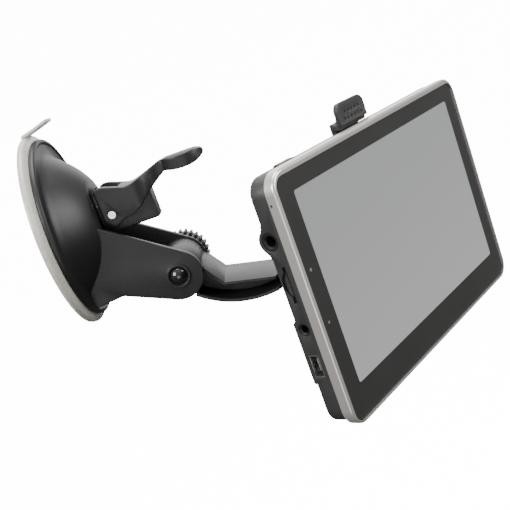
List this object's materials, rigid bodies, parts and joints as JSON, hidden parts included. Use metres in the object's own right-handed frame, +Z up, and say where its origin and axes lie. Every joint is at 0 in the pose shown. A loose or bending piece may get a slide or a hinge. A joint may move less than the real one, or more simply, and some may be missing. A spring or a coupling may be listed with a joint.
{
  "type": "portable gps navigator",
  "caption": "Flat car navigator in a silver bezel, held by a sprung cradle, ball joint, hinged arm and lever suction mount.",
  "frame": {"origin": "centre of the suction face, where the pad meets the glass", "axes": "+X along the suction axis away from the glass, +Z up, Y along the fork bolt; the screen faces +X and -Y"},
  "size_m": [0.1592, 0.1045, 0.1211],
  "materials": {
    "clear_pvc": "clear soft PVC, smooth, slightly cloudy",
    "mount_plastic": "moulded nylon, satin, fine grain",
    "grey_nylon": "natural nylon",
    "spring_steel": "drawn wire",
    "pin_steel": "bright turned steel",
    "gloss_black": "glossy black lacquer",
    "brass": "turned brass",
    "bezel_silver": "silver paint, satin",
    "lens_black": "touch lens, semi-gloss, black border and grey window",
    "foam": "closed-cell foam",
    "display_glass": "liquid crystal cell, switched off",
    "tray_steel": "tinned sheet",
    "cover_plastic": "ABS, matt spark texture",
    "screw_black": "blackened steel",
    "key_plastic": "satin black",
    "board_green": "solder mask",
    "chip_black": "moulded packages",
    "battery_wrap": "laminated pouch",
    "speaker_black": "pressed basket and paper cone",
    "ceramic": "ceramic with silver patch",
    "jack_black": "moulded socket",
    "port_steel": "nickel-plated shell",
    "switch_plastic": "switch body"
  },
  "bodies": {
    "foot": {"suction_pad": "clear_pvc", "suction_housing": "mount_plastic", "return_spring": "spring_steel", "fork_bolt": "gloss_black"},
    "plunger": {"plunger": "grey_nylon", "lever_pin": "pin_steel"},
    "lever": {"lever": "mount_plastic"},
    "arm": {"arm": "mount_plastic"},
    "knob": {"clamp_knob": "mount_plastic", "knob_nut": "brass", "knob_washer": "pin_steel"},
    "seat_ring": {"ball_seat_ring": "grey_nylon"},
    "seat_cup": {"ball_seat_cup": "grey_nylon"},
    "collar": {"locking_collar": "mount_plastic"},
    "release_tab": {"release_tab": "mount_plastic"},
    "power_key": {"power_button": "key_plastic"},
    "navigator": {"cradle": "mount_plastic", "bezel_frame": "bezel_silver", "touch_lens": "lens_black", "gasket_foam": "foam", "display_panel": "display_glass", "display_tray": "tray_steel", "rear_cover": "cover_plastic", "cover_screws": "screw_black", "main_board": "board_green", "shield_can": "tray_steel", "board_chips": "chip_black", "battery": "battery_wrap", "speaker": "speaker_black", "antenna_patch": "ceramic", "headphone_jack": "jack_black", "av_jack": "jack_black", "card_socket": "tray_steel", "usb_socket": "port_steel", "power_switch": "switch_plastic", "microphone": "port_steel"}
  },
  "joints": [
    {"name": "plunger_lift", "type": "slide", "parent": "foot", "child": "plunger", "axis": [1, 0, 0], "range_m": [0, 0.00571], "deforming": ["return_spring"]},
    {"name": "lever_swing", "type": "hinge", "parent": "plunger", "child": "lever", "pos_m": [0.0216, 0, 0], "axis": [0, -1, 0], "range_deg": [0, 90]},
    {"name": "arm_tilt", "type": "hinge", "parent": "foot", "child": "arm", "pos_m": [0.0374, 0, -0.028], "axis": [0, -1, 0], "range_deg": [-40, 30]},
    {"name": "knob_turn", "type": "hinge", "parent": "foot", "child": "knob", "pos_m": [0.0374, 0, -0.028], "axis": [0, 1, 0], "range_deg": [0, 360]},
    {"name": "ball_yaw", "type": "hinge", "parent": "arm", "child": "seat_ring", "pos_m": [0.0965, 0, -0.0376], "axis": [0, 0, 1], "range_deg": [-5, 80]},
    {"name": "ball_pitch", "type": "hinge", "parent": "seat_ring", "child": "seat_cup", "pos_m": [0.0965, 0, -0.0376], "axis": [0.6211, 0.7837, 0], "range_deg": [-15, 15]},
    {"name": "ball_roll", "type": "hinge", "parent": "seat_cup", "child": "navigator", "pos_m": [0.0965, 0, -0.0376], "axis": [0.7837, -0.6211, 0], "range_deg": [-90, 90]},
    {"name": "collar_turn", "type": "hinge", "parent": "navigator", "child": "collar", "pos_m": [0.0965, 0, -0.0376], "axis": [0.7837, -0.6211, 0], "range_deg": [0, 120]},
    {"name": "release_flex", "type": "hinge", "parent": "navigator", "child": "release_tab", "pos_m": [0.11076, -0.01131, -0.0166], "axis": [-0.6211, -0.7837, 0], "range_deg": [0, 8], "stiffness_Nm_per_rad": 0.9},
    {"name": "power_press", "type": "slide", "parent": "navigator", "child": "power_key", "axis": [0, 0, -1], "range_m": [0, 0.0004], "stiffness_N_per_m": 700}
  ],
  "couplings": [
    {"joint": "plunger_lift", "follows": "lever_swing", "m_per_rad": 0.0036287}
  ]
}
